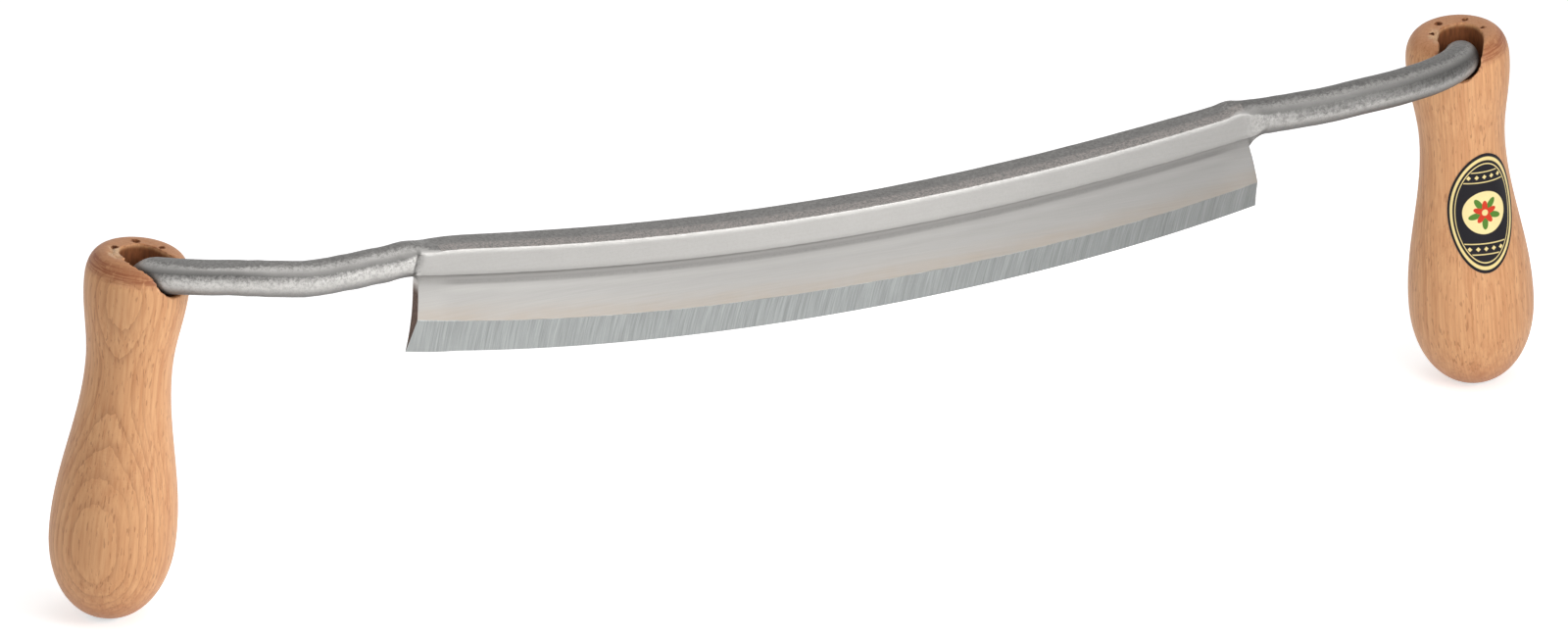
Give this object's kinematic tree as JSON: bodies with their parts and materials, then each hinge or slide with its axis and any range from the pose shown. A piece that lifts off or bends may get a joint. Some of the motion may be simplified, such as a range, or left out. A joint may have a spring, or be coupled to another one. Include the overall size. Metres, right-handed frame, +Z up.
{
  "type": "curved drawknife",
  "caption": "Two-handed drawknife: bowed blade with a thick spine, swept-back round tangs and turned wooden handles held by peened ends.",
  "frame": {"origin": "middle of the blade's flat back, at mid-length and half the blade's height there", "axes": "+X along the blade towards the right handle, +Y out of the flat back, +Z up from the edge to the spine; the handles point down"},
  "size_m": [0.4362, 0.0495, 0.1069],
  "materials": {
    "forged_steel": "forged and blasted, with a ground bevel",
    "beech": "turned and oiled",
    "washer_steel": "plain",
    "label_paper": "printed and varnished"
  },
  "bodies": {
    "root": {"blade_with_tangs": "forged_steel", "left_handle": "beech", "right_handle": "beech", "left_washer": "washer_steel", "right_washer": "washer_steel", "handle_label": "label_paper"}
  },
  "joints": []
}
